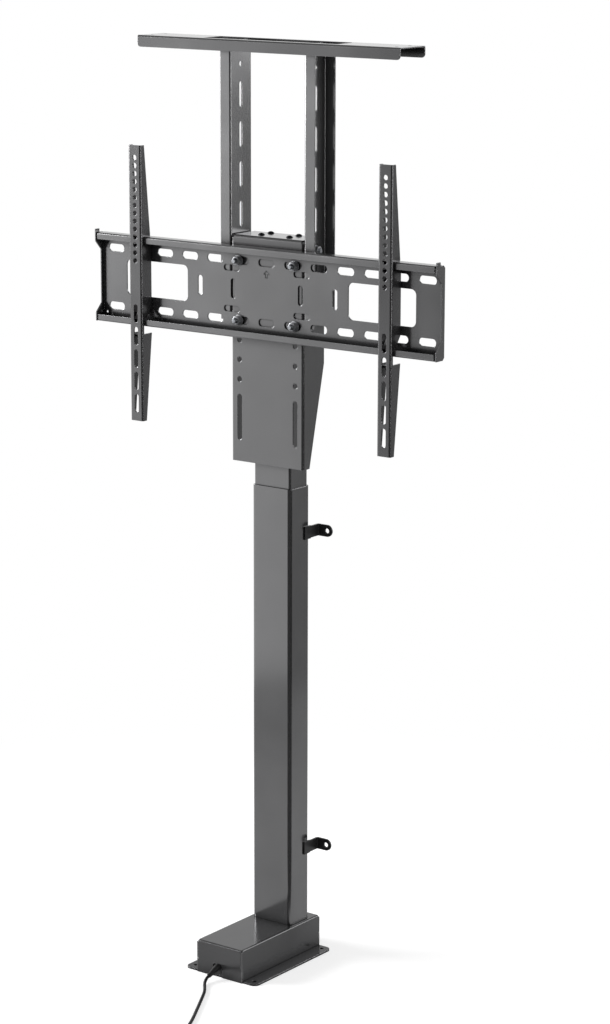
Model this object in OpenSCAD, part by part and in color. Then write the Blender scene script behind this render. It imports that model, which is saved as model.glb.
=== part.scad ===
// Motorised TV lift: a folded base cover holds a worm-geared motor, whose spindle
// drives an inner tube out of an outer tube. A bracket on the inner tube carries the
// slotted TV plate with its two sliding arms, and two slotted uprights with a lid bar.
// Millimetres. X to the right, Y to the back, Z up, origin on the floor at the centre
// of the base's fixing holes. Drawn with the lift fully raised.

/* [Base] */
// Width of the base plate, side to side
base_w = 142; // [130:1:200]
// Depth of the base, front to back
base_d = 206; // [200:1:260]
// Thickness of the base plate
base_t = 3; // [2:0.5:4]
// Corner radius of the base plate
base_r = 10; // [4:1:14]
// Diameter of the floor fixing holes
fix_d = 7; // [5:0.5:9]
// Distance of the floor fixing holes from the plate's edges
fix_inset = 12; // [10:0.5:14]
// Width of the folded cover
cover_w = 90; // [90:1:104]
// Height of the folded cover above the floor
cover_h = 54; // [53:1:70]
// Sheet thickness of the cover
cover_t = 1.5; // [1:0.1:2]
// Outside bend radius of the cover
cover_r = 3; // [2.5:0.5:5]
// Width of the open seams at the cover's corners
seam = 0.8; // [0.4:0.1:1.2]
// Width of the cable notch in the front panel
notch_w = 18; // [14:1:24]
// Height of the cable notch in the front panel
notch_h = 22; // [21:1:26]
// Offset of the cable notch from the middle
cable_x = -4; // [-10:1:10]

/* [Drive] */
// Diameter of the drive motor's can
motor_d = 38; // [30:1:38]
// Length of the drive motor's can
motor_l = 84; // [60:1:90]
// Width of the gearbox housing
gear_w = 84; // [80:1:86]
// Depth of the gearbox housing
gear_d = 82; // [76:1:84]
// Height of the gearbox block above the base plate
gear_h = 33; // [32:0.5:36]
// Height of the spigot that the outer tube sits over
spigot_h = 14; // [12:1:16]
// Diameter of the spindle
spindle_d = 14; // [12:1:20]
// Diameter of the spindle's journal in the gearbox
journal_d = 12; // [10:0.5:12]
// Number of teeth on the worm wheel
wheel_teeth = 20; // [16:1:24]
// Tip radius of the worm wheel
wheel_r = 16; // [14:0.5:17]
// Width of the worm wheel
wheel_t = 10; // [6:1:12]
// Radius of the worm's core
worm_r = 4.5; // [3.5:0.1:4.8]
// Diameter of the worm shaft's journals
worm_shaft_d = 6; // [4:0.5:7]
// Running clearance of every shaft, on the radius
run_fit = 0.05; // [0.02:0.01:0.09]

/* [Column] */
// Width of the outer tube
outer_w = 76; // [70:1:80]
// Depth of the outer tube
outer_d = 50; // [44:1:54]
// Height of the outer tube's top above the floor
outer_top = 771; // [720:1:775]
// Gap between the column's back and the base's back
col_back = 20; // [16:1:22]
// Wall of both tubes
tube_t = 1.5; // [1.2:0.1:2]
// Outside corner radius of the outer tube
tube_r = 6; // [4.5:0.5:9]
// Gap all round between the two tubes
tube_gap = 1; // [0.8:0.1:2]
// Running clearance of the glides
glide_fit = 0.15; // [0.1:0.05:0.3]
// Length of inner tube that stays in the outer tube when raised
tube_overlap = 159.5; // [150:0.5:200]
// Length of each glide
glide_l = 40; // [20:1:60]
// Height of the spindle nut
nut_h = 30; // [20:1:40]

/* [Wall straps] */
// Height of the upper wall straps above the floor
strap_top_z = 696; // [600:1:720]
// Distance between the upper and lower wall straps
strap_pitch = 520; // [400:1:540]
// Sheet thickness of the wall straps
strap_t = 2.5; // [2:0.5:4]
// Height of a wall strap's arm
strap_h = 19; // [14:1:24]
// Height of the foot welded to the tube
strap_foot_h = 21; // [19:1:30]
// Depth of the foot along the tube's side
strap_foot_d = 15; // [10:1:30]
// Length of the tab with the hole
strap_tab = 29; // [24:1:40]
// Diameter of the wall screw hole
strap_hole_d = 8; // [5:0.5:9]
// How far the straps' back face lies behind the base
strap_back = 2; // [2:0.5:6]

/* [Head bracket] */
// Height of the head bracket's top above the floor
head_top = 1164; // [1160:1:1200]
// Height of the head bracket
head_h = 356; // [330:1:360]
// Width of the head bracket
head_w = 140; // [134:1:160]
// Depth of the head bracket's top
head_d = 53; // [50:1:60]
// Distance of the bracket's front face ahead of the outer tube
head_stand = 10; // [8:1:16]
// Sheet thickness of the head bracket
head_t = 2.5; // [2:0.5:3]
// Outside bend radius of the head bracket
head_r = 5; // [4:0.5:7]
// Depth of the side flanges at the bottom
flange_foot = 16; // [12:1:30]
// Height over which the side flanges taper
flange_taper = 161; // [100:1:180]
// Diameter of the round holes in the front
head_hole_d = 9; // [8.5:0.1:10]
// Length of the two tall slots in the front
head_slot_l = 73; // [50:1:80]
// Distance of the tall slots' centres below the lowest hole
head_slot_drop = 60; // [50:1:64]
// Width between the top screws
top_screw_w = 54; // [40:1:56]
// Depth between the top screws
top_screw_d = 24; // [16:1:28]

/* [TV plate] */
// Length of the TV plate
plate_l = 658; // [640:1:700]
// Height of the TV plate
plate_h = 142; // [138:1:150]
// Depth of the TV plate over its lips
plate_dep = 21; // [18:1:24]
// Sheet thickness of the TV plate
plate_t = 2; // [1.5:0.1:2.5]
// Distance of the TV plate's middle below the head bracket's top
plate_drop = 86; // [84:1:96]
// Height of the turned lips
lip_h = 10.5; // [8:0.5:12]
// Height of the hook ears above the top lip
ear_h = 5.5; // [3:0.5:8]
// Gap between a lip's end and the plate's end
end_relief = 5; // [4:0.5:8]
// Pitch of the long slots along the plate
slot_pitch = 50; // [48:1:52]
// Length of the long slots
slot_l = 31; // [26:1:34]
// Width of the long slots
slot_w = 12; // [9:0.5:13]
// Height between the upper and the lower bolts
bolt_span_h = 93; // [90:1:96]
// Width between the left and the right bolts
bolt_span_w = 108; // [104:1:110]
// Width of the cable windows
window_w = 124; // [80:1:126]
// Height of the cable windows
window_h = 57; // [40:1:60]
// Distance of the windows' centres from the middle
window_x = 217; // [216:1:222]
// Diameter of the plate bolts and the upright bolts
bolt_d = 8; // [6:0.5:8]

/* [TV arms] */
// Length of a TV arm
arm_l = 438; // [430:1:460]
// Width of a TV arm
arm_w = 25; // [23:1:30]
// Sheet thickness of a TV arm
arm_t = 2; // [1.5:0.1:2.5]
// Distance of an arm's front face ahead of the plate's lips
arm_stand = 7; // [6:0.5:10]
// Distance of the arms from the plate's ends at rest
arm_inset = 89; // [80:1:109]
// Height of an arm's top above the plate's middle
arm_rise = 215; // [210:1:230]
// Depth of an arm's flanges at the top
arm_top_d = 9; // [7:0.5:14]
// Depth of an arm's flanges at the bottom
arm_foot_d = 10; // [7:0.5:14]
// Diameter of the TV screw holes
tv_hole_d = 8; // [6:0.5:9]
// Pitch of the TV screw holes
tv_pitch = 12.5; // [12:0.1:13]
// Number of TV screw holes in an arm
tv_holes = 14; // [8:1:14]
// Distance of the first TV screw hole below the arm's top
tv_first = 19; // [12:1:20]
// Length of an arm's slots
tv_slot_l = 29; // [20:1:31]
// Pitch of an arm's slots
tv_slot_pitch = 36; // [34:1:36]
// Distance of the lowest slot's end above the arm's foot
tv_slot_foot = 14; // [10:1:20]

/* [Lid frame] */
// Length of an upright
upright_l = 430; // [420:1:480]
// Depth of an upright
upright_d = 53; // [50:1:56]
// Width of an upright's flanges
upright_w = 20; // [15:1:26]
// Sheet thickness of an upright
upright_t = 2; // [1.5:0.1:2.5]
// Pitch of the height slots
lid_slot_pitch = 61.4; // [58:0.1:64]
// Length of the height slots
lid_slot_l = 39; // [30:1:44]
// Distance of the upper upright bolts below the head bracket's top
lid_bolt_drop = 17; // [15:1:30]
// Clearance between a bolt and its slot or hole
bolt_play = 0.2; // [0.1:0.05:0.4]
// Distance of the uprights' foot below the lowest slot
upright_foot = 21; // [10:1:25]
// Length of the lid bar
bar_l = 498; // [400:1:600]
// Depth of the lid bar
bar_d = 66; // [62:1:80]
// Height of the lid bar's lips
bar_h = 18; // [12:1:24]
// Sheet thickness of the lid bar
bar_t = 2; // [1.5:0.1:2.5]
// Length of the opening in the lid bar
bar_open_l = 255; // [200:1:300]
// Width of the opening in the lid bar
bar_open_w = 44; // [30:1:46]
// Distance of the lid screw holes from the bar's ends
lid_hole_in = 17; // [12:1:40]
// Depth between the lid screw holes
lid_hole_d2 = 34; // [20:1:44]
// Diameter of the lid screw holes
lid_hole_d = 5.5; // [4:0.5:7]

/* [Cable] */
// Diameter of the motor cable
cable_d = 5; // [4:0.5:6]
// Diameter of the strain relief at the cover
gland_d = 10; // [9:0.5:12]
// Reach of the strain relief ahead of the cover
gland_run = 22; // [22:1:30]
// Fall of the strain relief over its reach
gland_fall = 8; // [4:0.5:9]
// Diameter of the connector's body
connector_d = 13; // [11:0.5:16]
// Length of the connector's body
connector_l = 36; // [28:1:45]

/* [Hidden] */
$fn = 64;

steel = "#4a4b4e";
light_steel = "#7b7c7f";
zinc = "#b9bcc0";
black = "#1b1b1d";
alloy = "#a8abb0";

// Where a bent sheet's inner radius isn't its outer radius less the sheet
bend_in = 0.5;

// Base and cover details
plate_d = base_d - 2 * cover_t;
cover_gap = 0.5;
seam_step = 0.45;
notch_r = 4;
tab_w = 16;
tab_t = 2;
cover_screw_x = 28;
cover_screw_z = 14;
cover_screw_d = 4;

// Places up the column
col_y = base_d / 2 - col_back - outer_d / 2;
gear_top = base_t + gear_h;
inner_w = outer_w - 2 * tube_t - 2 * tube_gap;
inner_d = outer_d - 2 * tube_t - 2 * tube_gap;
inner_top = head_top - head_t;
inner_bottom = outer_top - tube_overlap;
bore_w = inner_w - 2 * tube_t;
bore_d = inner_d - 2 * tube_t;
insert_gap = 0.2;

// Places of the head bracket and what it carries
head_y = col_y - outer_d / 2 - head_stand;
plate_z = head_top - plate_drop;
bolt_z = plate_z + bolt_span_h / 2;
hole_pitch = bolt_span_h / 3;
hole_count = 7;
plate_y = head_y - plate_dep;
arm_x = plate_l / 2 - arm_inset;
arm_y = plate_y - arm_stand;
arm_top = plate_z + arm_rise;
arm_bottom = arm_top - arm_l;

// Cuts in the middle of the TV plate
window_z = plate_z + 2;
window_r = 9;
mid_slot_x = 67.5;
mid_slot_drop = 32;
mid_slot_w = slot_w - 2;
tall_slot_pitch = 65;
tall_slot_w = slot_w - 3;
hang_in = 8;
hang_up = 13;
hang_d = 4;
arrow_h = 10;
arrow_w = 3;
arrow_rise = 29;
arrow_deep = 0.4;

// End flanges of the TV plate: cut corners, an ear, and a waist between the lips
end_cut = 4;
ear_in = 12;
waist_d = 8;
waist_from = 28;
waist_step = 14;

// Hooks of a TV arm over the plate's lips, and the knee between them
hook_gap = 0.3;
hook_lap = 1.5;
hook_d = 15;
hook_h = 4;
hook_drop = 3;
knee_d = 12;
knee_h = 20;
foot_hook_h = 12;

// Locking screw under each arm, and the tab that it turns in
lock_in = 13;
lock_drop = 16;
lock_tab_d = 14;
lock_tab_t = 3;
lock_d = 6;
lock_head_d = 10;
lock_head_h = 4;

// Places of the lid frame, whose slots rest on the upper bolts
slide_gap = 0.2;
upright_x = head_w / 2 + slide_gap;
lid_bolt_y = head_y + upright_d / 2;
lid_bolt_z = head_top - lid_bolt_drop;
lid_slot_w = bolt_d + 2 * bolt_play;
lid_slot_z = lid_bolt_z + bolt_play - (lid_slot_l - lid_slot_w) / 2;
lid_slots = 6;
upright_bottom = lid_slot_z - lid_slot_pitch - lid_slot_l / 2 - upright_foot;
upright_top = upright_bottom + upright_l;
bar_top = upright_top + bar_t;
bar_y = head_y + upright_d / 2;

// Fasteners
m8_head_h = 5.3;
m8_nut_h = 6.5;
m8_flats = 13;
m8_washer_d = 17;
washer_t = 1.6;
stud_tip = 5.5;
side_tip = 3;
gear_bolt_d = 6;
gear_bolt_x = gear_w / 2 - 8;
gear_bolt_y = gear_d / 2 - 5;
gear_head_d = 10;
gear_head_h = 5;
gear_key = 5;
tube_screw_d = 5;
tube_screw_l = 12;
tube_screw_pitch = 24;
tube_head_d = 9;
tube_head_h = 2.5;
top_screw_dia = 6;
top_screw_l = 10;
top_plug_h = 12;
button_d = 10.5;
button_h = 3.3;
button_r = 6.5;
button_key = 4;
button_sink = 2;
cover_head_d = 8;
cover_head_h = 1.8;
cover_head_r = 6;
cross_l = 4;
cross_w = 0.9;

// Drive layout
worm_x = wheel_r + worm_r + 0.5;
worm_z = base_t + 20;
worm_l = 40;
worm_room = 3.5;
bearing_od = 24;
bearing_h = 8;
spigot_gap = 0.2;
chamber_gap = 1;
lid_h = 3;
lid_rim = 6;
gear_r = 5;
motor_flange_t = 8;
motor_flange_r = 6;
motor_boss_d = 16;
motor_boss_h = 6;
wheel_root = 3;
stop_rim = 6;
stop_key = 10;
stop_key_h = 4;
spindle_foot = base_t + 0.6;
spindle_top = inner_bottom + nut_h + 16;
stop_h = 6;

// Cable route on the floor, chosen by hand; it ends where the coil begins
gland_z = 16.5;
coil_x = 142;
coil_y = -385;
coil_turns = 6;
coil_step = cable_d + 0.6;
coil_mid_r = 30;
coil_out_r = coil_mid_r + coil_step * coil_turns / 4;
floor_z = cable_d / 2 + 0.1;
layer_h = cable_d + 0.5;
gland_end = [cable_x, -base_d / 2 - gland_run, gland_z - gland_fall];
gland_dir = [0, -gland_run, -gland_fall] / norm([gland_run, gland_fall]);
coil_in = [coil_x - coil_out_r, coil_y, floor_z];
coil_out = coil_in + [0, 0, layer_h];
stub = cable_d;
grommet_t = 2.5;
grommet_h = notch_h + 1;
grommet_lap = 3;
plug_x = 100;
plug_y = -470;
cable_route = [
    gland_end, gland_end + gland_dir * stub,
    [-1, -138, 4.3], [5, -147, 2.9], [13, -157, floor_z], [24, -172, floor_z],
    [40, -200, floor_z], [60, -236, floor_z], [80, -273, floor_z], [96, -310, floor_z],
    [103, -345, floor_z], coil_in + [0, 20, 0], coil_in + [0, stub, 0]
];
tail_route = [
    coil_out - [0, stub, 0], coil_out - [0, 12, 0.3],
    [103, -412, 5.6], [102, -428, 3.3], [101, -444, floor_z], [100, -458, 3.6],
    [plug_x, plug_y, connector_d / 2], [plug_x, plug_y - stub, connector_d / 2]
];

// Flat shapes

module rounded(w, d, r) {
    square([w - 2 * r, d], center = true);
    square([w, d - 2 * r], center = true);
    for (x = [-1, 1], y = [-1, 1])
        translate([x * (w / 2 - r), y * (d / 2 - r)]) circle(r);
}

// A wall of even thickness with bent corners
module bent_ring(w, d, t, r) {
    difference() {
        rounded(w, d, r);
        rounded(w - 2 * t, d - 2 * t, max(r - t, bend_in));
    }
}

module slot(l, w) {
    square([l - w, w], center = true);
    for (s = [-1, 1])
        translate([s * (l - w) / 2, 0]) circle(d = w);
}

module tall_slot(l, w) {
    rotate(90) slot(l, w);
}

// Flat shapes made solid along an axis: a drawing in X and Z runs along Y,
// and a drawing in Y and Z runs along X

module along_y(y0, y1) {
    translate([0, y1, 0]) rotate([90, 0, 0]) linear_extrude(y1 - y0) children();
}

module along_x(x0, x1) {
    translate([x0, 0, 0]) rotate([90, 0, 90]) linear_extrude(x1 - x0) children();
}

// A shape drawn on the right, mirrored where it belongs on the left
module on_side(s) {
    if (s < 0) mirror([1, 0, 0]) children();
    else children();
}

module hexagon(flats) {
    circle(d = flats / cos(30), $fn = 6);
}

// Base

module floor_holes() {
    for (x = [-1, 1], y = [-1, 1])
        translate([x * (base_w / 2 - fix_inset), y * (plate_d / 2 - fix_inset)]) circle(d = fix_d);
}

module cover_screw_places() {
    for (s = [-1, 1])
        translate([s * cover_screw_x, cover_screw_z]) children();
}

// The same places, for a screw's head drawn upright on the back panel's face
module cover_screw_places_y(y) {
    for (s = [-1, 1])
        translate([s * cover_screw_x, y, cover_screw_z]) rotate([-90, 0, 0]) children();
}

module gear_bolt_places() {
    for (x = [-1, 1], y = [-1, 1])
        translate([x * gear_bolt_x, col_y + y * gear_bolt_y]) children();
}

// The cover's end panels lap over the plate's front and back edges. Two tabs are
// turned up at the back, tapped for the cover's screws.
module base_plate() color(steel) {
    difference() {
        union() {
            linear_extrude(base_t) rounded(base_w, plate_d, base_r);
            for (s = [-1, 1])
                translate([s * cover_screw_x - tab_w / 2, plate_d / 2 - tab_t, base_t - 0.5])
                    cube([tab_w, tab_t, cover_screw_z + 10 - base_t + 0.5]);
        }
        translate([0, 0, -1]) linear_extrude(base_t + 2) {
            floor_holes();
            gear_bolt_places() circle(d = gear_bolt_d + 2 * run_fit);
        }
        along_y(plate_d / 2 - tab_t - 1, plate_d / 2 + 1) cover_screw_places()
            circle(d = cover_screw_d + 2 * run_fit);
    }
}

// Open seams at the cover's corners. Above the step the side walls run to the corner,
// and below it the end panels do.
module cover_seams() {
    step = cover_h * seam_step;
    wall_x = cover_w / 2 - cover_t;
    panel_y = base_d / 2 - cover_t;
    for (sx = [0, 1], sy = [0, 1]) mirror([sx, 0, 0]) mirror([0, sy, 0]) {
        translate([wall_x - seam, panel_y - 0.5, step - seam]) cube([seam, cover_t + 1, cover_h]);
        translate([wall_x - 0.5, panel_y - seam, -1]) cube([cover_t + 1, seam, step + 1]);
        translate([wall_x - seam, panel_y - seam, step - seam])
            cube([cover_t + seam + 1, cover_t + seam + 1, seam]);
    }
}

// One folded sheet: a top with two side walls and two end panels, with the top's
// corners left open between the four bends
module base_cover() color(steel) {
    wall_h = cover_h - cover_r;
    difference() {
        union() {
            along_y(cover_r - base_d / 2, base_d / 2 - cover_r) difference() {
                bent_ring(cover_w, 2 * cover_h, cover_t, cover_r);
                translate([0, -cover_h]) square([cover_w + 2, 2 * cover_h + 2 * base_t], center = true);
            }
            along_x(cover_r - cover_w / 2, cover_w / 2 - cover_r) difference() {
                bent_ring(base_d, 2 * cover_h, cover_t, cover_r);
                translate([0, -cover_h]) square([base_d + 2, 2 * cover_h + 2 * base_t], center = true);
            }
            linear_extrude(wall_h) difference() {
                square([cover_w, base_d], center = true);
                square([cover_w - 2 * cover_t, plate_d], center = true);
            }
        }
        // The side walls stop at the base plate, and the end panels pass it
        translate([0, 0, base_t / 2]) cube([cover_w + 2, plate_d, base_t], center = true);
        cover_seams();
        // Opening that the column passes through
        translate([0, col_y, cover_h - 2 * cover_t]) linear_extrude(4 * cover_t)
            rounded(outer_w + 2 * cover_gap, outer_d + 2 * cover_gap, tube_r);
        // Cable notch, open at the floor
        along_y(-base_d / 2 - 1, -plate_d / 2 + 1)
            translate([cable_x, 0]) rounded(notch_w, 2 * notch_h, notch_r);
        along_y(plate_d / 2 - 1, base_d / 2 + 1) cover_screw_places() circle(d = cover_screw_d + 0.6);
    }
}

module cover_screws() color(black) {
    along_y(plate_d / 2 - tab_t, base_d / 2) cover_screw_places() circle(d = cover_screw_d);
    cover_screw_places_y(base_d / 2) difference() {
        intersection() {
            cylinder(h = cover_head_h, d = cover_head_d);
            translate([0, 0, cover_head_h - cover_head_r]) sphere(cover_head_r);
        }
        translate([0, 0, 1]) {
            cube([cross_l, cross_w, 2], center = true);
            cube([cross_w, cross_l, 2], center = true);
        }
    }
}

// Drive

module gearbox_housing() color(alloy) {
    difference() {
        union() {
            translate([0, col_y, base_t]) linear_extrude(gear_h) rounded(gear_w, gear_d, gear_r);
            translate([0, col_y, gear_top]) linear_extrude(spigot_h)
                rounded(outer_w - 2 * tube_t - 2 * spigot_gap, outer_d - 2 * tube_t - 2 * spigot_gap,
                        tube_r - tube_t);
        }
        gear_bolt_places() translate([0, 0, base_t - 1]) cylinder(h = gear_h + 2, d = gear_bolt_d + 0.6);
        // Wheel chamber, open below for the lid
        translate([0, col_y, base_t - 1]) cylinder(h = lid_h + 1, r = wheel_r + lid_rim);
        translate([0, col_y, base_t]) cylinder(h = worm_z - base_t + wheel_t / 2 + chamber_gap,
                                               r = wheel_r + chamber_gap);
        // Spindle passage and bearing seat
        translate([0, col_y, base_t]) cylinder(h = gear_h + spigot_h, d = journal_d + 2);
        translate([0, col_y, gear_top + spigot_h - bearing_h]) cylinder(h = bearing_h + 1, d = bearing_od);
        // Worm chamber, open to the motor, and the worm's rear bearing
        along_y(col_y - gear_d / 2 - 1, col_y + gear_d / 2 - 12)
            translate([-worm_x, worm_z]) circle(worm_r + worm_room);
        along_y(col_y, col_y + gear_d / 2 - 5)
            translate([-worm_x, worm_z]) circle(worm_shaft_d / 2 + run_fit);
        // Tapped holes for the screws through the outer tube
        for (y = [-1, 1])
            translate([0, col_y + y * tube_screw_pitch / 2, gear_top + spigot_h / 2]) rotate([0, 90, 0])
                cylinder(h = outer_w, d = tube_screw_d + 2 * run_fit, center = true);
    }
}

module gearbox_lid() color(alloy) {
    translate([0, col_y, base_t]) difference() {
        cylinder(h = lid_h, r = wheel_r + lid_rim - run_fit);
        translate([0, 0, -1]) cylinder(h = lid_h + 2, d = journal_d + 2 * run_fit);
    }
}

// Cap screws that hold the gearbox down, threaded into the base plate
module gearbox_bolts() color(zinc) {
    gear_bolt_places() {
        translate([0, 0, 0.5]) cylinder(h = gear_top - 0.5, d = gear_bolt_d);
        difference() {
            translate([0, 0, gear_top]) cylinder(h = gear_head_h, d = gear_head_d);
            translate([0, 0, gear_top + 2]) cylinder(h = gear_head_h, d = gear_key / cos(30), $fn = 6);
        }
    }
}

module drive_motor() color(black) {
    face = col_y - gear_d / 2;
    difference() {
        union() {
            along_y(face - motor_flange_t, face)
                translate([-worm_x, worm_z]) rounded(motor_d, motor_d, motor_flange_r);
            along_y(face - motor_l, face - motor_flange_t) translate([-worm_x, worm_z]) circle(d = motor_d);
            along_y(face - motor_l - motor_boss_h, face - motor_l)
                translate([-worm_x, worm_z]) circle(d = motor_boss_d);
        }
        along_y(face - 20, face + 1) translate([-worm_x, worm_z]) circle(worm_shaft_d / 2 + run_fit);
    }
}

module worm_shaft() color(zinc) {
    front = col_y - gear_d / 2 - 19.5;
    back = col_y + gear_d / 2 - 5.5;
    along_y(front, back) translate([-worm_x, worm_z]) circle(d = worm_shaft_d);
    along_y(col_y - worm_l / 2, col_y + worm_l / 2) translate([-worm_x, worm_z]) circle(worm_r);
}

module spindle_bearing() color(zinc) {
    translate([0, col_y, gear_top + spigot_h - bearing_h]) difference() {
        cylinder(h = bearing_h, d = bearing_od);
        translate([0, 0, -1]) cylinder(h = bearing_h + 2, d = journal_d + 2 * run_fit);
    }
}

module spindle() color(zinc) {
    neck = gear_top + spigot_h;
    translate([0, col_y, spindle_foot]) cylinder(h = neck + 0.3 - spindle_foot, d = journal_d);
    translate([0, col_y, neck + 0.3]) cylinder(h = spindle_top - neck - 0.3, d = spindle_d);
}

module worm_wheel() color("#b08d57") {
    tooth = 2 * PI * wheel_r / wheel_teeth;
    translate([0, col_y, worm_z - wheel_t / 2]) linear_extrude(wheel_t) difference() {
        union() {
            circle(wheel_r - wheel_root);
            for (i = [0 : wheel_teeth - 1])
                rotate(i * 360 / wheel_teeth)
                    polygon([[wheel_r - wheel_root - 1, -tooth * 0.32], [wheel_r, -tooth * 0.16],
                             [wheel_r, tooth * 0.16], [wheel_r - wheel_root - 1, tooth * 0.32]]);
        }
        circle(d = journal_d);
    }
}

// Disc that keeps the nut from running off the spindle
module spindle_stop() color(zinc) {
    translate([0, col_y, spindle_top]) {
        cylinder(h = stop_h, d = spindle_d + 2 * stop_rim);
        translate([0, 0, stop_h]) cylinder(h = stop_key_h, d = stop_key / cos(30), $fn = 6);
    }
}

// Column

module outer_tube() color(light_steel) {
    difference() {
        translate([0, col_y, gear_top]) linear_extrude(outer_top - gear_top)
            bent_ring(outer_w, outer_d, tube_t, tube_r);
        for (y = [-1, 1])
            translate([0, col_y + y * tube_screw_pitch / 2, gear_top + spigot_h / 2]) rotate([0, 90, 0])
                cylinder(h = outer_w + 2, d = tube_screw_d + 2 * spigot_gap, center = true);
    }
}

module tube_screws() color(zinc) {
    for (s = [-1, 1], y = [-1, 1])
        translate([s * outer_w / 2, col_y + y * tube_screw_pitch / 2, gear_top + spigot_h / 2])
            rotate([0, s * 90, 0]) {
                cylinder(h = tube_head_h, d = tube_head_d);
                translate([0, 0, -tube_screw_l]) cylinder(h = tube_screw_l, d = tube_screw_d);
            }
}

// Plastic collar in the outer tube's mouth, which the inner tube slides through
module mouth_glide() color(black) {
    translate([0, col_y, outer_top - 0.3 - glide_l]) linear_extrude(glide_l) difference() {
        rounded(outer_w - 2 * tube_t, outer_d - 2 * tube_t, tube_r - tube_t);
        rounded(inner_w + 2 * glide_fit, inner_d + 2 * glide_fit, tube_r - tube_t - tube_gap + glide_fit);
    }
}

module inner_tube() color(light_steel) {
    translate([0, col_y, inner_bottom]) linear_extrude(inner_top - inner_bottom)
        bent_ring(inner_w, inner_d, tube_t, tube_r - tube_t - tube_gap);
}

// Plastic sleeve round the inner tube's foot, which slides in the outer tube
module foot_glide() color(black) {
    translate([0, col_y, inner_bottom]) linear_extrude(glide_l) difference() {
        rounded(outer_w - 2 * tube_t - 2 * glide_fit, outer_d - 2 * tube_t - 2 * glide_fit,
                tube_r - tube_t - glide_fit);
        rounded(inner_w, inner_d, tube_r - tube_t - tube_gap);
    }
}

module spindle_nut() color("#d9d6cc") {
    translate([0, col_y, inner_bottom]) linear_extrude(nut_h) difference() {
        rounded(bore_w - 2 * insert_gap, bore_d - 2 * insert_gap, 2);
        circle(spindle_d / 2 + run_fit);
    }
}

module top_screw_places() {
    for (x = [-1, 1], y = [-1, 1])
        translate([x * top_screw_w / 2, col_y - 2 + y * top_screw_d / 2]) children();
}

// Block welded into the inner tube's top, tapped for the head bracket's screws
module tube_plug() color(steel) {
    translate([0, 0, inner_top - top_plug_h]) linear_extrude(top_plug_h) difference() {
        translate([0, col_y]) rounded(bore_w - 2 * insert_gap, bore_d - 2 * insert_gap, 2);
        top_screw_places() circle(d = top_screw_dia + 2 * run_fit);
    }
}

module wall_strap(s, z) {
    back = base_d / 2 + strap_back;
    foot_y = col_y + outer_d / 2 - strap_foot_d;
    x0 = outer_w / 2;
    tab_r = strap_h / 2;
    reach = 4 * strap_tab;
    hole_x = x0 + strap_tab - tab_r;
    translate([0, 0, z]) on_side(s) difference() {
        union() {
            // Arm and tab, bent from one strip
            translate([0, 0, -strap_h / 2]) linear_extrude(strap_h) intersection() {
                translate([x0 + reach / 2, back - reach / 2]) bent_ring(reach, reach, strap_t, strap_t + 1.5);
                translate([x0, foot_y]) square([hole_x - x0, back - foot_y]);
            }
            along_y(back - strap_t, back) translate([hole_x, 0]) circle(tab_r);
            // Foot on the tube's side
            translate([x0, foot_y, -strap_foot_h / 2]) cube([strap_t, strap_foot_d, strap_foot_h]);
        }
        along_y(back - strap_t - 1, back + 1) translate([hole_x, 0]) circle(d = strap_hole_d);
    }
}

module strap_upper_left() color(black) wall_strap(-1, strap_top_z);
module strap_upper_right() color(black) wall_strap(1, strap_top_z);
module strap_lower_left() color(black) wall_strap(-1, strap_top_z - strap_pitch);
module strap_lower_right() color(black) wall_strap(1, strap_top_z - strap_pitch);

// Head bracket

module plate_bolt_places() {
    for (x = [-1, 1], z = [-1, 1])
        translate([x * bolt_span_w / 2, plate_z + z * bolt_span_h / 2]) children();
}

module lid_bolt_places() {
    for (k = [0, 1])
        translate([lid_bolt_y, lid_bolt_z - k * lid_slot_pitch]) children();
}

module head_bracket() color(light_steel) {
    bottom = head_top - head_h;
    deep = 4 * head_d;
    difference() {
        union() {
            // Front and side flanges, bent from one sheet
            intersection() {
                translate([0, head_y + deep / 2, bottom]) linear_extrude(head_h - head_r) difference() {
                    bent_ring(head_w, deep, head_t, head_r - 1);
                    translate([0, head_d]) square([head_w + 2, deep], center = true);
                }
                along_x(-head_w, head_w) polygon([
                    [head_y - 1, bottom], [head_y + flange_foot, bottom],
                    [head_y + head_d, bottom + flange_taper], [head_y + head_d, head_top],
                    [head_y - 1, head_top]]);
            }
            // Top flange, bent back over the tube
            along_x(-head_w / 2 + head_r, head_w / 2 - head_r) intersection() {
                translate([head_y + deep / 2, head_top - deep / 2]) bent_ring(deep, deep, head_t, head_r);
                translate([head_y - 1, head_top - 4 * head_r]) square([head_d + 1, 5 * head_r]);
            }
        }
        for (s = [-1, 1]) {
            along_y(head_y - 1, head_y + head_t + 1) {
                for (k = [0 : hole_count - 1])
                    translate([s * bolt_span_w / 2, bolt_z - k * hole_pitch]) circle(d = head_hole_d);
                translate([s * bolt_span_w / 2, bolt_z - (hole_count - 1) * hole_pitch - head_slot_drop])
                    tall_slot(head_slot_l, head_hole_d);
            }
        }
        along_x(-head_w / 2 - 1, head_w / 2 + 1) lid_bolt_places() circle(d = lid_slot_w);
        top_screw_places() translate([0, 0, head_top - 2 * head_t])
            cylinder(h = 3 * head_t, d = 1.1 * top_screw_dia);
    }
}

// Button-head screws that hold the bracket on the inner tube
module head_screws() color(black) {
    top_screw_places() difference() {
        union() {
            translate([0, 0, inner_top - top_screw_l]) cylinder(h = top_screw_l + head_t, d = top_screw_dia);
            intersection() {
                translate([0, 0, head_top]) cylinder(h = button_h, d = button_d);
                translate([0, 0, head_top + button_h - button_r]) sphere(button_r);
            }
        }
        translate([0, 0, head_top + button_h - button_sink])
            cylinder(h = button_sink + 1, d = button_key / cos(30), $fn = 6);
    }
}

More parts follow.
